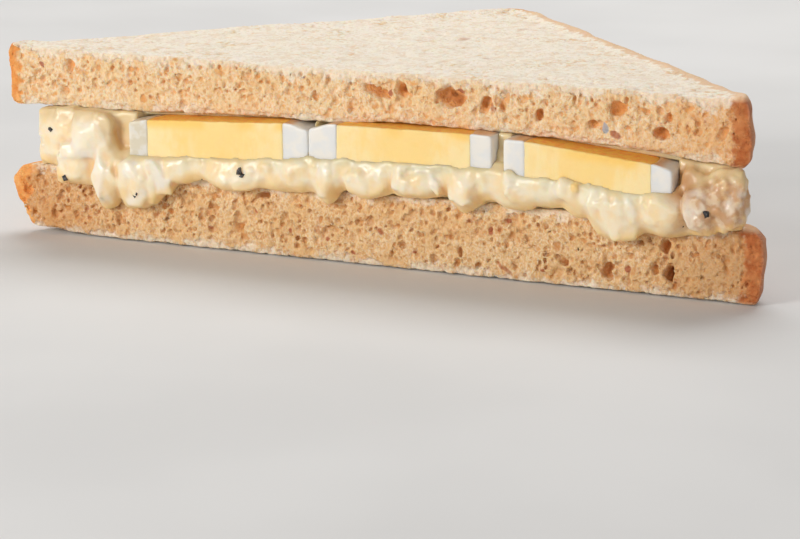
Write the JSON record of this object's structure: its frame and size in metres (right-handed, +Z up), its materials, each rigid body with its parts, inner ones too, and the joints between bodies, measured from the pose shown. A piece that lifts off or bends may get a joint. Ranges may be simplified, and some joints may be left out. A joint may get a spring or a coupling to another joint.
{
  "type": "egg mayonnaise sandwich half",
  "caption": "Half of a diagonally cut brown bread sandwich with egg mayonnaise and boiled egg slices that show at the cut.",
  "frame": {"origin": "middle of the box round the sandwich, on the surface that it rests on", "axes": "+X along the cut, towards the viewer's right, +Y from the cut face towards the crust corner, +Z up"},
  "size_m": [0.161, 0.084, 0.0389],
  "materials": {
    "bread": "open brown bread crumb with an orange-brown crust",
    "mayonnaise": "soft gloss, pale cream with chopped egg",
    "egg_white": "satin, slightly translucent",
    "egg_yolk": "matt, fine grain"
  },
  "bodies": {
    "root": {"bread_top": "bread", "bread_bottom": "bread", "egg_mayonnaise": "mayonnaise", "egg_white_left": "egg_white", "egg_yolk_left": "egg_yolk", "egg_white_middle": "egg_white", "egg_yolk_middle": "egg_yolk", "egg_white_right": "egg_white", "egg_yolk_right": "egg_yolk"}
  },
  "joints": []
}
